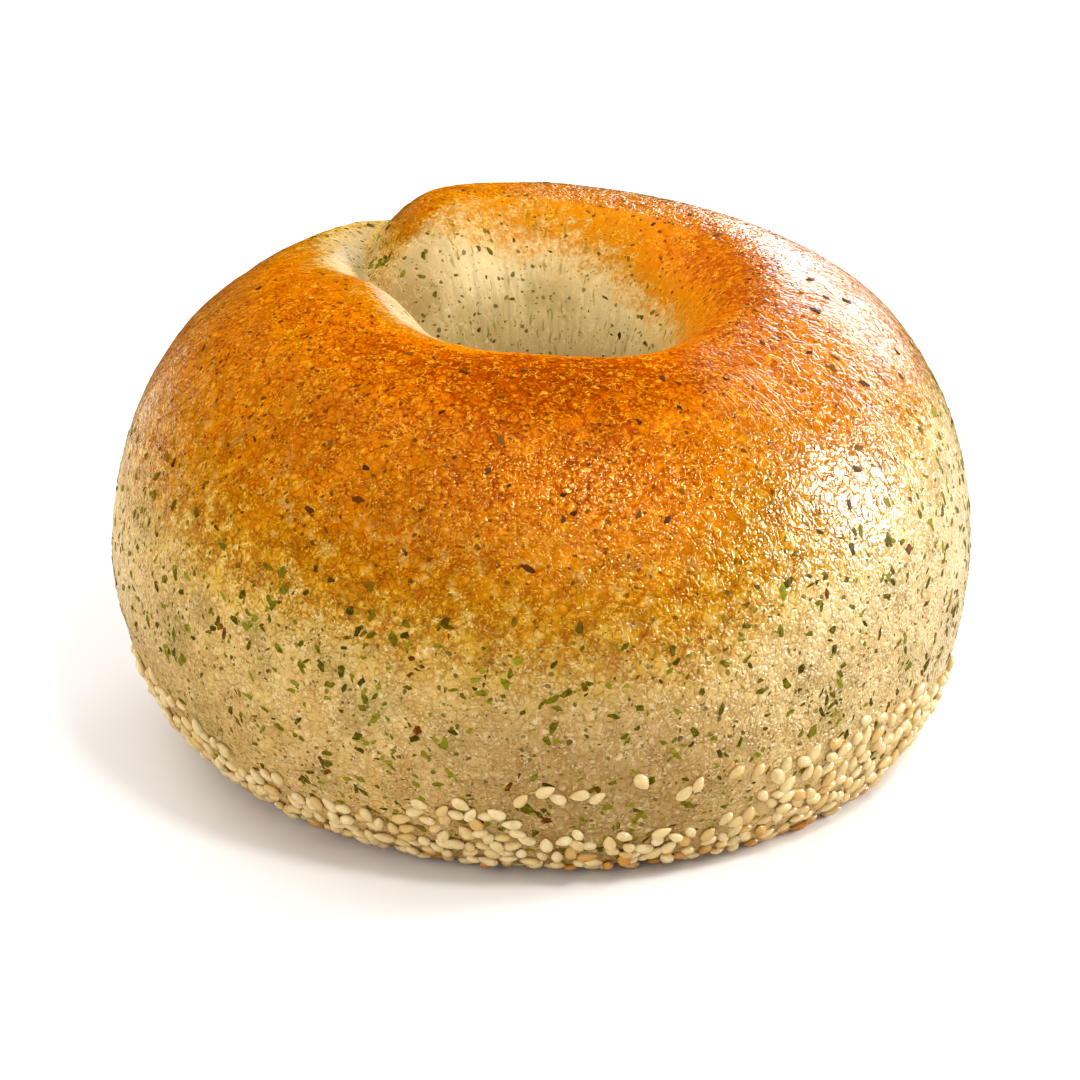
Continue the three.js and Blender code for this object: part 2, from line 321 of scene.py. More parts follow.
pick = np.random.default_rng(12)
knots = points[pick.integers(0, len(points), herb_knots)] / mm
knots_radius = knot_radius * pick.uniform(0.5, 1.5, herb_knots)
herby = np.zeros(len(points))
for knot, spread in zip(knots, knots_radius):
    herby = np.maximum(herby, np.exp(-(((points / mm - knot) / spread) ** 2).sum(1)))
store(dough.data, "herby", herby)

# The lumps of the crust: broad swellings, soft blisters and, on the top, creases along the rope's
# sections. Finer blisters are in the crust's finish.


def node(tree, kind, inputs=None, **settings):
    made = tree.nodes.new(kind)
    for name, value in settings.items():
        setattr(made, name, value)
    for name, value in (inputs or {}).items():
        if isinstance(value, bpy.types.NodeSocket):
            tree.links.new(value, made.inputs[name])
        else:
            made.inputs[name].default_value = value
    return made


def maths(tree, operation, *values, clamp=False):
    made = tree.nodes.new("ShaderNodeMath")
    made.operation = operation
    made.use_clamp = clamp
    for socket, value in zip(made.inputs, values):
        if isinstance(value, bpy.types.NodeSocket):
            tree.links.new(value, socket)
        else:
            socket.default_value = value
    return made.outputs[0]


def vector_maths(tree, operation, *values):
    made = tree.nodes.new("ShaderNodeVectorMath")
    made.operation = operation
    for socket, value in zip(made.inputs, values):
        if isinstance(value, bpy.types.NodeSocket):
            tree.links.new(value, socket)
        else:
            socket.default_value = value
    return made.outputs["Vector"]


def mapped(tree, value, low, high, start=0.0, end=1.0, smooth=True):
    made = node(
        tree,
        "ShaderNodeMapRange",
        {"Value": value, "From Min": low, "From Max": high, "To Min": start, "To Max": end},
        interpolation_type="SMOOTHSTEP" if smooth else "LINEAR",
    )
    return made.outputs["Result"]


section_radius, section_height = 33.0 * mm, 28.0 * mm  # the middle of the rope's section


def along_sections(tree, position, stretch):
    """Coordinates that follow the skin: even round the ring, and squeezed by stretch along each
    section, so that a pattern in them comes out drawn out from the hole to the foot."""
    apart = node(tree, "ShaderNodeSeparateXYZ", {"Vector": position})
    flat = vector_maths(tree, "MULTIPLY", position, (1.0, 1.0, 0.0))
    round_ring = vector_maths(tree, "NORMALIZE", flat)
    reach = node(tree, "ShaderNodeVectorMath", operation="LENGTH")
    tree.links.new(flat, reach.inputs[0])
    rise = maths(tree, "SUBTRACT", apart.outputs["Z"], section_height)
    out = maths(tree, "SUBTRACT", reach.outputs["Value"], section_radius)
    turn = maths(tree, "ARCTAN2", rise, out)
    length = maths(tree, "MULTIPLY", turn, section_height / stretch)
    ring = vector_maths(tree, "SCALE", round_ring)
    ring.node.inputs["Scale"].default_value = section_radius
    lift = node(tree, "ShaderNodeCombineXYZ", {"Z": length})
    return vector_maths(tree, "ADD", ring, lift.outputs["Vector"])


def geometry_tree(name, inputs):
    """A new Geometry Nodes tree with a geometry input and output and the named float inputs."""
    tree = bpy.data.node_groups.new(name, "GeometryNodeTree")
    tree.interface.new_socket("Geometry", in_out="INPUT", socket_type="NodeSocketGeometry")
    tree.interface.new_socket("Geometry", in_out="OUTPUT", socket_type="NodeSocketGeometry")
    for label in inputs:
        tree.interface.new_socket(label, in_out="INPUT", socket_type="NodeSocketFloat")
    return tree, tree.nodes.new("NodeGroupInput").outputs, tree.nodes.new("NodeGroupOutput").inputs


def run_tree(piece, tree, values):
    modifier = piece.modifiers.new(tree.name, "NODES")
    modifier.node_group = tree
    for item in tree.interface.items_tree:
        if item.item_type == "SOCKET" and item.in_out == "INPUT" and item.name in values:
            modifier[item.identifier] = float(values[item.name])


relief_sizes = {
    "swell height": 0.9 * mm,
    "swell size": 24 * mm,
    "lump height": 0.2 * mm,
    "lump size": 5.5 * mm,
    "blister height": 0.17 * mm,
    "blister size": 2.3 * mm,
    "crease height": 0.12 * mm,
    "crease size": 1.9 * mm,
}
flat_foot_low, flat_foot_high = 0.3 * mm, 3 * mm  # the base stays flat, so the relief starts here
relief, sizes, result = geometry_tree("relief", relief_sizes)
place = node(relief, "GeometryNodeInputPosition").outputs["Position"]


def relief_noise(size, vector, detail):
    scale = maths(relief, "DIVIDE", 1.0, size)
    grain = node(relief, "ShaderNodeTexNoise", {"Vector": vector, "Scale": scale, "Detail": detail})
    return maths(relief, "SUBTRACT", grain.outputs[0], 0.5)


swell = maths(relief, "MULTIPLY", relief_noise(sizes["swell size"], place, 1.0), sizes["swell height"])
lump = maths(relief, "MULTIPLY", relief_noise(sizes["lump size"], place, 2.0), sizes["lump height"])
blisters = node(
    relief,
    "ShaderNodeTexVoronoi",
    {"Vector": place, "Scale": maths(relief, "DIVIDE", 1.0, sizes["blister size"]), "Randomness": 1.0},
    feature="SMOOTH_F1",
)
dome = maths(relief, "SUBTRACT", 0.35, blisters.outputs["Distance"])
under_gloss = node(relief, "GeometryNodeInputNamedAttribute", {"Name": "gloss"}, data_type="FLOAT")
blister_room = mapped(relief, under_gloss.outputs["Attribute"], 0.0, 0.8, 1.0, 0.3)
blister = maths(relief, "MULTIPLY", maths(relief, "MULTIPLY", dome, blister_room), sizes["blister height"])
drawn = along_sections(relief, place, 4.0)
crease = maths(relief, "MULTIPLY", relief_noise(sizes["crease size"], drawn, 1.0), sizes["crease height"])
total = maths(relief, "ADD", maths(relief, "ADD", swell, lump), maths(relief, "ADD", blister, crease))
height_here = node(relief, "ShaderNodeSeparateXYZ", {"Vector": place}).outputs["Z"]
above_base = mapped(relief, height_here, flat_foot_low, flat_foot_high)
push = node(relief, "ShaderNodeVectorMath", {0: node(relief, "GeometryNodeInputNormal").outputs["Normal"]})
push.operation = "SCALE"
relief.links.new(maths(relief, "MULTIPLY", total, above_base), push.inputs["Scale"])
raised = {"Geometry": sizes["Geometry"], "Offset": push.outputs["Vector"]}
moved = node(relief, "GeometryNodeSetPosition", raised)
relief.links.new(moved.outputs["Geometry"], result["Geometry"])
run_tree(dough, relief, relief_sizes)
dough = applied(dough, "dough")
for polygon in dough.data.polygons:
    polygon.use_smooth = True

# The crust's finish: pale, faintly green dough that browns to orange on top under a shiny egg
# wash, all of it in fine blisters, with specks of dried herb baked in.


def new_material(name):
    material = bpy.data.materials.new(name)
    material.use_nodes = True
    tree = material.node_tree
    tree.nodes.clear()
    shader = tree.nodes.new("ShaderNodeBsdfPrincipled")
    end = tree.nodes.new("ShaderNodeOutputMaterial")
    tree.links.new(shader.outputs["BSDF"], end.inputs["Surface"])
    return material, tree, shader


def noise(tree, vector, size, detail=2.0, roughness=0.5):
    grain = node(
        tree,
        "ShaderNodeTexNoise",
        {"Vector": vector, "Scale": 1.0 / size, "Detail": detail, "Roughness": roughness},
    )
    return grain.outputs[0]


def ramp(tree, value, stops):
    made = node(tree, "ShaderNodeValToRGB", {"Fac": value})
    elements = made.color_ramp.elements
    for element, (position, color) in zip(elements, stops):
        element.position, element.color = position, (*color, 1.0)
    for position, color in stops[2:]:
        elements.new(position).color = (*color, 1.0)
    return made.outputs["Color"]


def mix(tree, factor, first, second, blend="MIX"):
    made = node(tree, "ShaderNodeMix", data_type="RGBA", blend_type=blend)
    for socket, value in ((made.inputs[0], factor), (made.inputs[6], first), (made.inputs[7], second)):
        if isinstance(value, bpy.types.NodeSocket):
            tree.links.new(value, socket)
        else:
            socket.default_value = (*value, 1.0) if isinstance(value, tuple) else value
    return made.outputs[2]


def attribute(tree, name):
    """One of the values stored on the mesh, as a finish reads it."""
    return node(tree, "ShaderNodeAttribute", attribute_name=name).outputs["Fac"]


bend_size, bend_reach = 1.7 * mm, 1.0 * mm  # how the blisters are bent out of their even spread
blister_size, pimple_size = 1.15 * mm, 0.5 * mm
blotch_size, fine_blotch_size, pallor_size, scorch_size = 9 * mm, 1.8 * mm, 4.5 * mm, 2.6 * mm
fibre_size, streak_size, smear_size = 1.3 * mm, 1.3 * mm, 1.0 * mm
speck_size, dust_size, steep_size = 0.85 * mm, 0.45 * mm, 3.0 * mm
gap_patch, pimple_patch, fibre_patch, crease_patch = 1.9 * mm, 3.1 * mm, 2.4 * mm, 12 * mm
crease_size, crumple_size, wall_fibre_size = 1.3 * mm, 2.4 * mm, 1.1 * mm
bump_depth = 0.2 * mm
wash_index = 1.47

crust, tree, shader = new_material("crust")
spot = node(tree, "ShaderNodeTexCoord").outputs["Object"]
baked, hole, cleft = attribute(tree, "browning"), attribute(tree, "hole"), attribute(tree, "cleft")
wash_depth, dry = attribute(tree, "gloss"), attribute(tree, "dry")
steep, scorched = attribute(tree, "herby"), attribute(tree, "scorched")

wobble = node(tree, "ShaderNodeTexNoise", {"Vector": spot, "Scale": 1.0 / bend_size, "Detail": 1.0})
bend = vector_maths(tree, "SCALE", vector_maths(tree, "SUBTRACT", wobble.outputs["Color"], (0.5, 0.5, 0.5)))
bend.node.inputs["Scale"].default_value = bend_reach
bent_spot = vector_maths(tree, "ADD", spot, bend)
drawn_near = along_sections(tree, spot, 3.2)
drawn_bent = along_sections(tree, bent_spot, 2.6)
drawn_far = along_sections(tree, bent_spot, 6.0)


def cells(vector, size, feature="F1"):
    """Cells of the crust, each with its colour and the distance to its middle or its edge."""
    spread = {"Vector": vector, "Scale": 1.0 / size, "Randomness": 1.0}
    return node(tree, "ShaderNodeTexVoronoi", spread, feature=feature).outputs


def cell_draws(cell):
    """Three random values of a cell, from 0 to 1."""
    return node(tree, "ShaderNodeSeparateColor", {"Color": cell["Color"]}).outputs


def spread_about(value, amount):
    """A 0 to 1 value turned into one of plus or minus half the amount."""
    return maths(tree, "MULTIPLY", maths(tree, "SUBTRACT", value, 0.5), amount)


def folds(vector, size):
    """Thin wandering lines, at 0, with ground between them that rises to 1."""
    return maths(tree, "ABSOLUTE", spread_about(noise(tree, vector, size, 2.0), 2.0))


def shares(*values):
    total = values[0]
    for value in values[1:]:
        total = maths(tree, "MULTIPLY", total, value)
    return total


def sums(*values):
    total = values[0]
    for value in values[1:]:
        total = maths(tree, "ADD", total, value)
    return total


def rest_of(value):
    return maths(tree, "SUBTRACT", 1.0, value)


# How brown each grain of the crust is: its spot's browning, in blotches, blisters and fibres.
blister_cells, pimple_cells = cells(bent_spot, blister_size), cells(bent_spot, pimple_size)
blister_draw, pimple_draw = cell_draws(blister_cells)["Red"], cell_draws(pimple_cells)["Red"]
blister_bowl = shares(blister_cells["Distance"], blister_cells["Distance"])
pimple_bowl = shares(pimple_cells["Distance"], pimple_cells["Distance"])
fibre_line = mapped(tree, folds(bent_spot, fibre_size), 0.0, 0.06, 1.0, 0.0)
mottle = noise(tree, spot, blotch_size, 3.0, 0.55)
mottle_fine = noise(tree, spot, fine_blotch_size, 3.0, 0.6)
half_baked = shares(mapped(tree, baked, 0.1, 0.28), mapped(tree, baked, 0.78, 0.55))
off_wall = rest_of(shares(hole, 0.8))
coarse = sums(
    spread_about(mottle, 0.36),
    spread_about(mottle_fine, 0.3),
    shares(spread_about(mottle_fine, 0.6), half_baked, off_wall),
)
grain = sums(
    spread_about(blister_draw, 0.08),
    spread_about(pimple_draw, 0.1),
    maths(tree, "MULTIPLY", blister_bowl, 0.1),
    maths(tree, "MULTIPLY", pimple_bowl, 0.2),
    maths(tree, "MULTIPLY", fibre_line, -0.15),
    -0.05,
)
open_to_brown = mapped(tree, baked, 0.0, 0.3, 0.3, 1.0)
shade = maths(tree, "ADD", baked, shares(sums(coarse, grain), open_to_brown), clamp=True)
crust_stops = [  # from raw dough to the darkest brown
    (0.0, (0.73, 0.475, 0.15)),
    (1.0, (0.46, 0.08, 0.0)),
    (0.08, (0.71, 0.445, 0.105)),
    (0.18, (0.66, 0.375, 0.035)),
    (0.3, (0.61, 0.29, 0.005)),
    (0.44, (0.57, 0.225, 0.0)),
    (0.58, (0.61, 0.205, 0.0)),
    (0.72, (0.69, 0.205, 0.0)),
    (0.83, (0.70, 0.18, 0.0)),
]
pale_part = mapped(tree, shade, 0.03, 0.36, 1.0, 0.0)
pale_wall = mapped(tree, shade, 0.03, 0.6, 1.0, 0.0)
brown_part = rest_of(pale_part)

# Where the dough is another colour, and where shade is painted into it: the hole's pale wall with
# painted shade deeper down, painted shade low down and at the front foot, a paler cream towards the
# right flank, and painted shade on the hole's lit lip at the left.
at = node(tree, "ShaderNodeSeparateXYZ", {"Vector": spot}).outputs
# The hole's wall is its own pale dough, with painted shade that darkens it deeper down the hole.
wall_low_painted_shade, wall_high = (0.56, 0.43, 0.19), (0.78, 0.64, 0.34)
wall_color_and_depth_shade = mix(tree, mapped(tree, at["Z"], 44 * mm, 55 * mm), wall_low_painted_shade, wall_high)
# Painted shade: the skin is darkened towards the bottom.
painted_low_shade = mapped(tree, at["Z"], 36 * mm, 12 * mm)
right_flank = mapped(tree, at["X"], 14 * mm, 40 * mm)
# Painted shade: darkens the hole's left lip, where the right window lights it.
painted_lip_shade = shares(mapped(tree, at["X"], -8 * mm, -17 * mm), mapped(tree, at["Z"], 47 * mm, 54 * mm))
# Painted shade: the front of the foot, round the middle, is darkened.
off_middle = maths(tree, "ABSOLUTE", maths(tree, "SUBTRACT", at["X"], 4 * mm))
painted_front_shade = shares(
    mapped(tree, at["Z"], 42 * mm, 16 * mm),
    mapped(tree, at["Y"], -30 * mm, -50 * mm),
    mapped(tree, off_middle, 27 * mm, 6 * mm),
)

# Blotches, painted shade in the gaps between blisters, the blisters' tops lighter, partly with painted
# light, and fibres pulled out of the skin.
steeped = mapped(tree, sums(steep, spread_about(noise(tree, spot, steep_size, 3.0), 1.6)), 0.1, 1.0)
scorch = mapped(tree, noise(tree, spot, scorch_size, 3.0, 0.6), 0.36, 0.66)
patchy = shares(mapped(tree, mottle_fine, 0.46, 0.6), half_baked)
spared = shares(mapped(tree, mottle_fine, 0.46, 0.34), half_baked)
pallor = mapped(tree, noise(tree, spot, pallor_size, 3.0, 0.55), 0.38, 0.64)
blister_gaps = cells(bent_spot, blister_size, "DISTANCE_TO_EDGE")["Distance"]
pimple_gaps = cells(bent_spot, pimple_size, "DISTANCE_TO_EDGE")["Distance"]
gap_room = mapped(tree, noise(tree, spot, gap_patch, 2.0), 0.36, 0.54)
pimple_room = mapped(tree, noise(tree, spot, pimple_patch, 1.0), 0.42, 0.58)
# Painted shade in the gaps between blisters and pimples.
painted_gap_shade = maths(
    tree,
    "MAXIMUM",
    shares(mapped(tree, blister_gaps, 0.01, 0.11, 1.0, 0.0), gap_room),
    shares(mapped(tree, pimple_gaps, 0.03, 0.22, 1.0, 0.0), pimple_room, 0.85),
)
painted_gap_shade_most = maths(tree, "SUBTRACT", 0.75, shares(pale_part, 0.2))
# The blisters' and pimples' tops are lighter: partly their paler colour, partly painted light on their
# tops.
high = maths(
    tree,
    "MAXIMUM",
    shares(mapped(tree, blister_bowl, 0.14, 0.01), mapped(tree, blister_draw, 0.35, 0.85)),
    shares(mapped(tree, pimple_bowl, 0.14, 0.02), mapped(tree, pimple_draw, 0.3, 0.8), pimple_room),
)
fibre_room = mapped(tree, noise(tree, spot, fibre_patch, 1.0), 0.42, 0.56)
fibres = shares(fibre_line, fibre_room)

# Herbs too small for flakes: streaks and smears down the hole's wall, specks and green dust.
streaks = mapped(tree, noise(tree, drawn_far, streak_size, 3.0, 0.55), 0.42, 0.74)
smear_cells = cells(drawn_bent, smear_size)
smear_here = maths(tree, "GREATER_THAN", cell_draws(smear_cells)["Green"], 0.74)
smear_core = mapped(tree, smear_cells["Distance"], 0.12, 0.38, 0.6, 0.0)
speck_cells = cells(bent_spot, speck_size)
speck_draw = cell_draws(speck_cells)
speck_here = maths(tree, "GREATER_THAN", maths(tree, "ADD", speck_draw["Green"], shares(steep, 0.14)), 0.8)
speck_reach = mapped(tree, speck_draw["Blue"], 0.0, 1.0, 0.16, 0.4, smooth=False)
speck_core = maths(tree, "LESS_THAN", speck_cells["Distance"], speck_reach)
dust_cells = cells(bent_spot, dust_size)
dust_here = maths(tree, "GREATER_THAN", cell_draws(dust_cells)["Green"], 0.82)
dust = shares(dust_here, mapped(tree, dust_cells["Distance"], 0.2, 0.36, 0.7, 0.0))
speck = maths(tree, "MAXIMUM", shares(speck_here, speck_core, 0.85), dust)
dark_green, light_green, scorched_herb = (0.06, 0.04, 0.0), (0.20, 0.14, 0.004), (0.12, 0.03, 0.0)
green_speck = mix(tree, speck_draw["Red"], dark_green, light_green)
speck_color = mix(tree, mapped(tree, baked, 0.2, 0.7), green_speck, scorched_herb)

coats = [  # how much of each shows, its colour, and how it is laid over those before it
    # the hole's wall with its painted depth shade, painted shade low down, a paler right flank, and painted
    # shade on the left lip and the front foot
    (shares(hole, pale_wall, 0.85), wall_color_and_depth_shade, "MIX"),
    (painted_low_shade, (0.9, 0.87, 0.88), "MULTIPLY"),
    (shares(right_flank, pale_part, 0.55), (0.74, 0.57, 0.27), "MIX"),
    (shares(hole, painted_lip_shade), (0.76, 0.67, 0.56), "MULTIPLY"),
    (painted_front_shade, (0.72, 0.69, 0.64), "MULTIPLY"),
    (shares(steeped, pale_part, 0.55), (0.42, 0.29, 0.08), "MIX"),
    (shares(scorched, brown_part, 0.8), (0.78, 0.72, 0.6), "MULTIPLY"),
    (shares(scorch, brown_part, off_wall, 0.65), (0.74, 0.62, 0.45), "MULTIPLY"),
    (shares(patchy, off_wall, 0.4), (0.6, 0.5, 0.3), "MULTIPLY"),
    (shares(spared, off_wall, 0.18), (0.9, 0.62, 0.26), "MIX"),
    (shares(pallor, pale_part, off_wall, 0.7), (0.84, 0.76, 0.62), "MULTIPLY"),
    # painted shade in the blisters' gaps, then their tops lighter, partly painted light
    (shares(painted_gap_shade, off_wall, painted_gap_shade_most), (0.55, 0.42, 0.17), "MULTIPLY"),
    (shares(high, pale_part, off_wall, 0.4), (0.92, 0.72, 0.38), "MIX"),
    (shares(high, brown_part, 0.4), (0.95, 0.44, 0.02), "MIX"),
    (shares(fibres, pale_part, 0.5), (0.90, 0.71, 0.38), "MIX"),
    (shares(fibres, brown_part, 0.55), (0.95, 0.48, 0.03), "MIX"),
    (shares(streaks, hole, pale_part, 0.6), (0.40, 0.32, 0.12), "MIX"),
    (shares(smear_here, smear_core, hole), (0.2, 0.14, 0.01), "MIX"),
    (speck, speck_color, "MIX"),
]
crust_color = ramp(tree, shade, crust_stops)
for share, color, blend in coats:
    crust_color = mix(tree, share, crust_color, color, blend)
tree.links.new(crust_color, shader.inputs["Base Color"])

# The egg wash: smooth where it is thick, dull in the hole, in the groove and on the dry crest.
washed = maths(tree, "MAXIMUM", baked, shares(wash_depth, 0.42))
sheltered = shares(maths(tree, "MAXIMUM", hole, cleft), pale_part, 0.12)
wash = sums(mapped(tree, washed, 0.05, 0.5, 0.36, 0.13), sheltered, shares(wash_depth, -0.04))
tree.links.new(sums(wash, spread_about(mottle_fine, 0.1), shares(dry, 0.16)), shader.inputs["Roughness"])
tree.links.new(shares(rest_of(dry), 0.5), shader.inputs["Specular IOR Level"])
shader.inputs["IOR"].default_value = wash_index
amber, straw = (1.0, 0.78, 0.34), (1.0, 0.91, 0.74)
brown_tint = mix(tree, mapped(tree, at["X"], 20 * mm, 32 * mm), amber, straw)
wash_tint = mix(tree, mapped(tree, baked, 0.1, 0.5), (1.0, 1.0, 1.0), brown_tint)
tree.links.new(wash_tint, shader.inputs["Specular Tint"])

# The finest relief: blisters and pimples, creases and crumples of the wash, and fibres.
under_wash = rest_of(maths(tree, "MAXIMUM", shares(wash_depth, 0.75), hole))
crease_room = mapped(tree, noise(tree, spot, crease_patch, 1.0), 0.42, 0.6)
crease_folds = mapped(tree, folds(drawn_near, crease_size), 0.0, 0.13)
crumple_folds = mapped(tree, folds(bent_spot, crumple_size), 0.0, 0.13)
height = sums(
    shares(blister_bowl, mapped(tree, blister_draw, 0.2, 0.7, 0.3, 1.0), under_wash, -1.5),
    shares(pimple_bowl, mapped(tree, pimple_draw, 0.2, 0.7, 0.3, 1.0), under_wash, -1.8),
    shares(crease_folds, crease_room, sums(shares(wash_depth, 0.42), 0.05)),
    shares(crumple_folds, sums(shares(wash_depth, 0.32), 0.08)),
    shares(fibre_line, under_wash, 0.25),
    shares(noise(tree, drawn_far, wall_fibre_size, 3.0), hole, 0.8),
)
baked_room = shares(mapped(tree, baked, 0.0, 0.5, 0.8, 1.0), mapped(tree, baked, 0.76, 0.88, 1.0, 0.55))
fine_height = shares(height, baked_room)
bump = node(tree, "ShaderNodeBump", {"Height": fine_height, "Strength": 1.0, "Distance": bump_depth})
tree.links.new(bump.outputs["Normal"], shader.inputs["Normal"])

dough.data.materials.clear()
dough.data.materials.append(crust)
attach(dough, "root")
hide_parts("bagel")


# ---- Sesame seeds ----
# Hulled white sesame that the raw ring was pressed into. They sit half sunk in the foot, thick
# under the base and in a broken band up the side, and the lowest are toasted by the tray.

seed_length, seed_width, seed_thickness = 2.85 * mm, 1.8 * mm, 1.15 * mm
seed_sides, seed_rings = 8, 7
seed_blunt, seed_full, seed_widest, seed_taper = 0.86, 0.66, 1.04, 0.2  # of the teardrop's outline
seed_spacing = 1.5 * mm
tide_line = {  # degrees: height in mm that the seeds reach up the side
    0: 10, 18: 11, 40: 7, 62: 7, 80: 12.5, 100: 12, 118: 8, 140: 8, 165: 13, 190: 15, 212: 16, 222: 12.5,
    240: 10, 250: 10, 255: 13.5, 264: 13.5, 267: 8, 298: 7.5, 301: 15, 318: 16, 335: 14, 345: 11, 360: 10,
}
upper_row_from, upper_row_to, upper_row_low, upper_row_high = 264, 301, 13.5, 16.6  # degrees and mm
stray_seed, stray_reach = np.array([22.9, -49.5, 17.9]), 0.9  # mm: one seed sits on its own up here
foot_reach, hole_edge = 36.0, 17.0  # mm from the axis: where the side and the base begin
base_high = 4.0  # mm: the base's seeds lie below this
side_share, row_share, base_share, stray_share = 0.92, 0.42, 0.7, 1.0  # how thick the seeds lie

points, normals = mesh_points(dough.data), mesh_normals(dough.data)
x, y, z = (points / mm).T
bearing = np.degrees(np.arctan2(y, x)) % 360
reach = np.hypot(x, y)
outside = reach > foot_reach
side_room = smooth_step(1.2, -0.6, z - through(tide_line, bearing)) * outside
row_here = (bearing > upper_row_from) & (bearing < upper_row_to)
row_room = row_here & (z > upper_row_low) & (z < upper_row_high)
base_room = smooth_step(-0.55, -0.85, normals[:, 2]) * (z < base_high) * (reach > hole_edge)
stray_room = np.linalg.norm(points / mm - stray_seed, axis=1) < stray_reach
room = np.maximum.reduce(
    [side_share * side_room, row_share * row_room, base_share * base_room, stray_share * stray_room]
)
store(dough.data, "seed_room", room)


def seed_shape():
    """One seed along +X, flat sides up and down, round at one end and pointed at the other."""
    made = bmesh.new()
    rings = []
    for i in range(1, seed_rings):
        t = i / seed_rings
        width = math.sin(math.pi * t**seed_blunt) ** seed_full * (seed_widest - seed_taper * t)
        rings.append(
            [
                made.verts.new(
                    (
                        (t - 0.5) * seed_length,
                        0.5 * seed_width * width * math.cos(2 * math.pi * k / seed_sides),
                        0.5 * seed_thickness * width * math.sin(2 * math.pi * k / seed_sides),
                    )
                )
                for k in range(seed_sides)
            ]
        )
    blunt = made.verts.new((-0.5 * seed_length, 0, 0))
    point = made.verts.new((0.5 * seed_length, 0, 0))
    for k in range(seed_sides):
        after = (k + 1) % seed_sides
        made.faces.new((blunt, rings[0][after], rings[0][k]))
        made.faces.new((point, rings[-1][k], rings[-1][after]))
        for near, far in zip(rings, rings[1:]):
            made.faces.new((near[k], near[after], far[after], far[k]))
    bmesh.ops.recalc_face_normals(made, faces=made.faces)
    for face in made.faces:
        face.smooth = True
    mesh = bpy.data.meshes.new("seed_shape")
    made.to_mesh(mesh)
    made.free()
    return shown("seed_shape", mesh)


def random_value(tree, low, high, seed, kind="FLOAT"):
    made = node(tree, "FunctionNodeRandomValue", data_type=kind)
    active = [socket for socket in made.inputs if socket.enabled]
    for socket, value in zip(active, (low, high)):
        socket.default_value = value
    made.inputs["Seed"].default_value = seed
    return [socket for socket in made.outputs if socket.enabled][0]


# Starting numbers of the random draws, so that each run strews alike.
sprinkle_pick, lean_pick, proud_pick, tint_pick, kind_pick, size_pick = 3, 11, 17, 23, 31, 37
most_lean = 0.12  # radians that a seed or flake leans out of the skin
hole_size = 0.6  # size of the seeds and flakes in the hole, where the outside's are 1


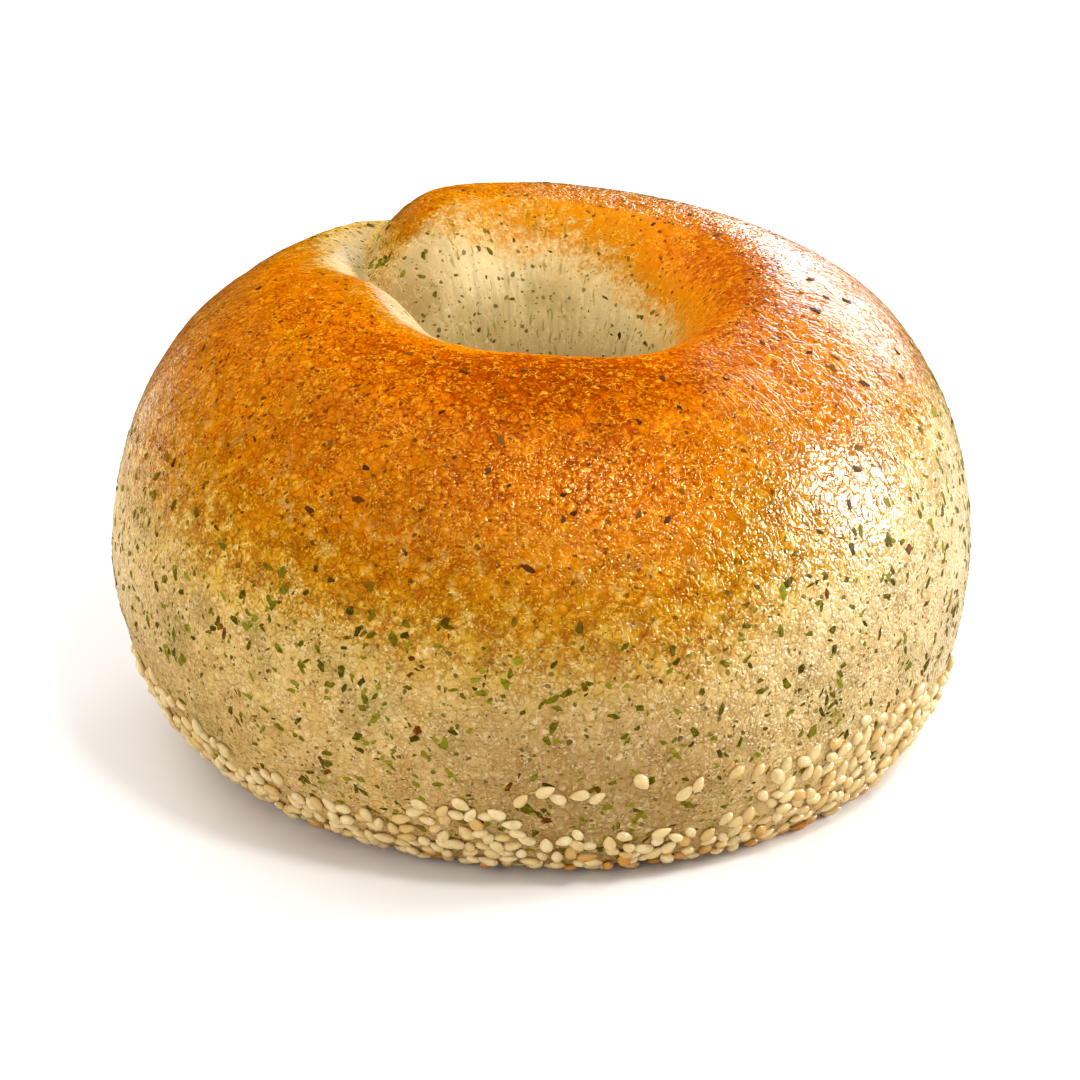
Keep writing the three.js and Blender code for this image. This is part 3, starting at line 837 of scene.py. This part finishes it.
def sprinkle(name, shapes, material, sizes):
    """A tree that strews shapes over a mesh, thick where its room attribute is high."""
    tree, values, result = geometry_tree(name, sizes)
    room = node(tree, "GeometryNodeInputNamedAttribute", {"Name": f"{name}_room"}, data_type="FLOAT")
    strewn = node(
        tree,
        "GeometryNodeDistributePointsOnFaces",
        {"Mesh": values["Geometry"], "Distance Min": values["spacing"], "Density Max": values["density"]},
        distribute_method="POISSON",
    )
    tree.links.new(room.outputs["Attribute"], strewn.inputs["Density Factor"])
    strewn.inputs["Seed"].default_value = sprinkle_pick
    least_turn = (-most_lean, -most_lean, 0.0)
    most_turn = (most_lean, most_lean, 2 * math.pi)
    lean = random_value(tree, least_turn, most_turn, lean_pick, "FLOAT_VECTOR")
    spin = node(tree, "FunctionNodeEulerToRotation", {"Euler": lean})
    turned = node(
        tree,
        "FunctionNodeRotateRotation",
        {"Rotation": strewn.outputs["Rotation"], "Rotate By": spin.outputs["Rotation"]},
        rotation_space="LOCAL",
    )
    lift = node(tree, "ShaderNodeVectorMath", {0: strewn.outputs["Normal"]}, operation="SCALE")
    proud = random_value(tree, 0.0, 1.0, proud_pick)
    low_to_high = maths(tree, "SUBTRACT", values["proud most"], values["proud least"])
    rise = maths(tree, "ADD", values["proud least"], maths(tree, "MULTIPLY", proud, low_to_high))
    tree.links.new(rise, lift.inputs["Scale"])
    start = node(tree, "GeometryNodeInputPosition").outputs["Position"]
    raised = vector_maths(tree, "ADD", start, lift.outputs["Vector"])
    seat = node(tree, "ShaderNodeSeparateXYZ", {"Vector": raised}).outputs
    level = maths(tree, "MAXIMUM", seat["Z"], values["lowest"])
    place = node(tree, "ShaderNodeCombineXYZ", {"X": seat["X"], "Y": seat["Y"], "Z": level})
    lifted = node(
        tree,
        "GeometryNodeSetPosition",
        {"Geometry": strewn.outputs["Points"], "Position": place.outputs["Vector"]},
    )
    tint = random_value(tree, 0.0, 1.0, tint_pick)
    tinted = node(
        tree,
        "GeometryNodeStoreNamedAttribute",
        {"Geometry": lifted.outputs["Geometry"], "Name": "tint", "Value": tint},
        data_type="FLOAT",
        domain="POINT",
    )
    picked = node(tree, "GeometryNodeCollectionInfo", {"Collection": shapes, "Separate Children": True})
    picked.inputs["Reset Children"].default_value = True
    which = random_value(tree, 0, len(shapes.objects) - 1, kind_pick, "INT")
    growth = random_value(tree, 0.0, 1.0, size_pick)
    skew = maths(tree, "POWER", growth, values["size skew"])
    span = maths(tree, "SUBTRACT", values["size most"], values["size least"])
    size = maths(tree, "ADD", values["size least"], maths(tree, "MULTIPLY", skew, span))
    hole_here = node(tree, "GeometryNodeInputNamedAttribute", {"Name": "hole"}, data_type="FLOAT")
    smaller = mapped(tree, hole_here.outputs["Attribute"], 0.0, 1.0, 1.0, hole_size)
    size = maths(tree, "MULTIPLY", size, smaller)
    scale = node(tree, "ShaderNodeCombineXYZ", {"X": size, "Y": size, "Z": maths(tree, "POWER", size, 0.5)})
    strewn_shapes = node(
        tree,
        "GeometryNodeInstanceOnPoints",
        {
            "Points": tinted.outputs["Geometry"],
            "Instance": picked.outputs["Instances"],
            "Pick Instance": True,
            "Instance Index": which,
            "Rotation": turned.outputs["Rotation"],
            "Scale": scale.outputs["Vector"],
        },
    )
    plain = node(tree, "GeometryNodeRealizeInstances", {"Geometry": strewn_shapes.outputs["Instances"]})
    coated = {"Geometry": plain.outputs["Geometry"], "Material": material}
    finished = node(tree, "GeometryNodeSetMaterial", coated)
    tree.links.new(finished.outputs["Geometry"], result["Geometry"])
    return tree


def strew(name, mesh, tree, sizes):
    carrier = shown(name, mesh.copy())
    run_tree(carrier, tree, sizes)
    return applied(carrier, name)


toast_low, toast_high = 0.2 * mm, 5 * mm  # the lower a seed lies, the likelier it is toasted
toast_line = 0.93  # share of the seeds high up that stay ivory
seed_blotch, seed_grain = 1.0 * mm, 0.35 * mm
blotch_color, toast_color = (0.58, 0.35, 0.09), (0.60, 0.27, 0.05)
ivory_stops = [(0.0, (0.74, 0.54, 0.24)), (1.0, (0.66, 0.42, 0.13)), (0.5, (0.80, 0.63, 0.33))]

sesame, tree, shader = new_material("sesame")
tint = attribute(tree, "tint")
spot = node(tree, "ShaderNodeTexCoord").outputs["Object"]
seed_height = node(tree, "ShaderNodeSeparateXYZ", {"Vector": spot}).outputs["Z"]
low_down = mapped(tree, seed_height, toast_low, toast_high, 0.62, 0.0)
toasted = maths(tree, "SUBTRACT", maths(tree, "ADD", tint, low_down), toast_line)
toasted = mapped(tree, toasted, 0.0, 0.2)
blotch = mapped(tree, noise(tree, spot, seed_blotch, 2.0), 0.4, 0.7)
seed_color = mix(tree, maths(tree, "MULTIPLY", blotch, 0.4), ramp(tree, tint, ivory_stops), blotch_color)
seed_color = mix(tree, toasted, seed_color, toast_color)
tree.links.new(seed_color, shader.inputs["Base Color"])
shader.inputs["Roughness"].default_value = 0.28
shader.inputs["IOR"].default_value = 1.5
shader.inputs["Subsurface Weight"].default_value = 0.2
shader.inputs["Subsurface Radius"].default_value = (1.0, 0.6, 0.25)
shader.inputs["Subsurface Scale"].default_value = 0.6 * mm
fine = noise(tree, spot, seed_grain, 2.0)
bump = node(tree, "ShaderNodeBump", {"Height": fine, "Strength": 0.5, "Distance": 0.05 * mm})
tree.links.new(bump.outputs["Normal"], shader.inputs["Normal"])

seed_sizes = {
    "spacing": seed_spacing,
    "density": 600000,
    "proud least": -0.05 * mm,
    "proud most": 0.45 * mm,
    "size least": 0.82,
    "size most": 1.08,
    "size skew": 1.0,
    "lowest": 0.8 * mm,
}
seed_shapes = bpy.data.collections.new("seed_shapes")
seed = seed_shape()
bpy.context.scene.collection.objects.unlink(seed)
seed_shapes.objects.link(seed)
seed_tree = sprinkle("seed", seed_shapes, sesame, seed_sizes)
seeds = strew("sesame_seeds", dough.data, seed_tree, seed_sizes)
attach(seeds, "root")
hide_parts("bagel")


# ---- Herb flakes ----
# Dried parsley crumbled into the dough. The larger chips lie flat in the skin, dull green where
# the crust is pale and scorched brown where it is baked dark.

flake_kinds, flake_reach, flake_thickness = 16, 0.6 * mm, 0.16 * mm
flake_shapes = bpy.data.collections.new("flake_shapes")
for kind in range(flake_kinds):
    made = bmesh.new()
    corners = pick.integers(6, 9)
    stretch = pick.uniform(0.35, 0.9)
    angles = (np.arange(corners) + pick.uniform(-0.3, 0.3, corners)) * 2 * math.pi / corners
    reaches = pick.uniform(0.6, 1.0, corners) * flake_reach
    curls = pick.uniform(-0.5, 0.1, corners) * flake_thickness
    outline = [
        (far * math.cos(angle), far * stretch * math.sin(angle), curl)
        for angle, far, curl in zip(angles, reaches, curls)
    ]
    rims = [
        [made.verts.new((across, along, curl + level * flake_thickness)) for across, along, curl in outline]
        for level in (-0.5, 0.3)
    ]
    under = made.verts.new((0, 0, -0.5 * flake_thickness))
    ridge = made.verts.new((0.1 * mm * pick.uniform(-1, 1), 0, 0.5 * flake_thickness))
    for k in range(corners):
        after = (k + 1) % corners
        made.faces.new((rims[0][k], rims[0][after], rims[1][after], rims[1][k]))
        made.faces.new((rims[1][k], rims[1][after], ridge))
        made.faces.new((rims[0][after], rims[0][k], under))
    bmesh.ops.recalc_face_normals(made, faces=made.faces)
    mesh = bpy.data.meshes.new(f"flake_{kind}")
    made.to_mesh(mesh)
    made.free()
    flake_shapes.objects.link(bpy.data.objects.new(f"flake_{kind}", mesh))

flake_sizes = {
    "spacing": 0.42 * mm,
    "density": 1400000,
    "proud least": -0.05 * mm,
    "proud most": 0.0,
    "size least": 0.35,
    "size most": 2.2,
    "size skew": 2.4,
    "lowest": 0.0,
}
thin_herbs, thick_herbs = 0.26, 0.62  # how thick the flakes lie between the knots and in them
brown_loss, hole_loss = 0.9, 0.5  # share of them that the brown crust and the hole's wall hide
clear_of_base = smooth_step(1.0, 4.0, mesh_points(dough.data)[:, 2] / mm)
flake_room = thin_herbs + (thick_herbs - thin_herbs) * herby
flake_room *= (1 - brown_loss * smooth_step(0.15, 0.45, browning)) * (1 - hole_loss * in_hole)
store(dough.data, "flake_room", flake_room * clear_of_base)

green_stops = [  # from the darkest flakes to the lightest, with a few reddish bits of stalk
    (0.0, (0.05, 0.037, 0.0)),
    (1.0, (0.14, 0.03, 0.0)),
    (0.35, (0.10, 0.082, 0.0)),
    (0.65, (0.17, 0.15, 0.003)),
    (0.85, (0.25, 0.23, 0.008)),
    (0.94, (0.12, 0.09, 0.0)),
    (0.96, (0.14, 0.03, 0.0)),
]
scorched_stops = [(0.0, (0.035, 0.01, 0.001)), (1.0, (0.20, 0.075, 0.002)), (0.5, (0.09, 0.022, 0.001))]
light_vein, dark_vein, vein_size = (0.28, 0.23, 0.002), (0.02, 0.012, 0.0), 0.5 * mm

herb, tree, shader = new_material("herb")
tint, baked = attribute(tree, "tint"), attribute(tree, "browning")
spot = node(tree, "ShaderNodeTexCoord").outputs["Object"]
veins = noise(tree, spot, vein_size, 3.0)
green = mix(tree, shares(mapped(tree, veins, 0.5, 0.72), 0.45), ramp(tree, tint, green_stops), light_vein)
herb_color = mix(tree, mapped(tree, baked, 0.15, 0.5), green, ramp(tree, tint, scorched_stops))
herb_color = mix(tree, shares(mapped(tree, veins, 0.5, 0.3), 0.5), herb_color, dark_vein)
tree.links.new(herb_color, shader.inputs["Base Color"])
shader.inputs["Roughness"].default_value = 0.5
shader.inputs["IOR"].default_value = 1.3
shader.inputs["Specular IOR Level"].default_value = 0.12
bump = node(tree, "ShaderNodeBump", {"Height": veins, "Strength": 0.7, "Distance": 0.08 * mm})
tree.links.new(bump.outputs["Normal"], shader.inputs["Normal"])

flake_tree = sprinkle("flake", flake_shapes, herb, flake_sizes)
flakes = strew("herb_flakes", dough.data, flake_tree, flake_sizes)
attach(flakes, "root")
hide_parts("bagel")

for shape in (*seed_shapes.objects, *flake_shapes.objects):
    bpy.data.objects.remove(shape)


# ---- Studio ----
# A white table in an even white surround, with a window at the right and one at the rear right, a
# lamp high in front and two white cards. The lamps only light the bagel. Brighter panes, and two
# faint glows for the table's own light, are only seen mirrored in the egg wash.

half_table = 2.0
table_corners = [(a * half_table, b * half_table, 0) for a, b in ((-1, -1), (1, -1), (1, 1), (-1, 1))]
floor = shown("floor", made_mesh("floor", table_corners, [(0, 1, 2, 3)]))
white, tree, shader = new_material("white_table")
shader.inputs["Base Color"].default_value = (0.93, 0.93, 0.93, 1.0)
shader.inputs["Roughness"].default_value = 0.7
floor.data.materials.append(white)
floor.visible_glossy = False

world = bpy.data.worlds.new("surround")
world.use_nodes = True
world.node_tree.nodes["Background"].inputs["Color"].default_value = (1.0, 1.0, 1.0, 1.0)
world.node_tree.nodes["Background"].inputs["Strength"].default_value = 0.72
world.cycles_visibility.glossy = False
bpy.context.scene.world = world

centre = Vector((-0.67 * mm, 0.0, 24.04 * mm))  # what the camera and the lamps face


def window(name, bearing, elevation, distance, width, height, power):
    lamp = bpy.data.lights.new(name, "AREA")
    lamp.shape = "RECTANGLE"
    lamp.size, lamp.size_y, lamp.energy = width, height, power
    holder = shown(name, lamp)
    bearing, elevation = math.radians(bearing), math.radians(elevation)
    level = math.cos(elevation)
    way = Vector((level * math.cos(bearing), level * math.sin(bearing), math.sin(elevation)))
    holder.location = centre + distance * way
    holder.rotation_euler = way.to_track_quat("Z", "Y").to_euler()
    return holder


lamps = [  # bearing and elevation in degrees; distance, width and height in metres; watts
    ("window_rear_right", 64, 12, 1.0, 0.4, 0.34, 6.0),
    ("window_right", 8, 22, 1.0, 0.21, 0.44, 7.2),
    ("front_lamp", 308, 62, 1.2, 0.2, 0.2, 5.0),
    ("rear_left_card", 135, 48, 1.2, 0.8, 0.8, 4.7),
    ("left_card", 205, 14, 1.2, 0.8, 0.8, 5.4),
]
panes = [
    ("rear_pane", 67, 11, 1.0, 0.52, 0.38, 5.0),
    ("right_pane", 7, 17, 1.0, 0.4, 0.5, 29.0),
    ("front_pane", 300, 62, 1.2, 0.28, 0.28, 10.0),
    ("glow_left", 127, -18, 1.0, 0.55, 0.36, 1.4),
    ("glow_right", 52, -21, 1.0, 0.45, 0.45, 1.0),
]
warm_white = (1.0, 0.9, 0.72)
for row in lamps:
    window(*row).visible_glossy = False
for row in panes:
    window(*row).visible_diffuse = False
bpy.data.lights["glow_left"].color = warm_white

camera_elevation, camera_distance, lens = math.radians(24.62), 0.56, 142.5
camera_data = bpy.data.cameras.new("camera")
camera_data.lens = lens
camera_data.sensor_width = 36.0
camera_data.clip_start = 0.05
camera = shown("camera", camera_data)
back = Vector((0.0, -math.cos(camera_elevation), math.sin(camera_elevation)))
camera.location = centre + camera_distance * back
camera.rotation_euler = back.to_track_quat("Z", "Y").to_euler()
bpy.context.scene.camera = camera
bpy.context.scene.view_settings.view_transform = "Standard"
bpy.context.scene.view_settings.look = "None"
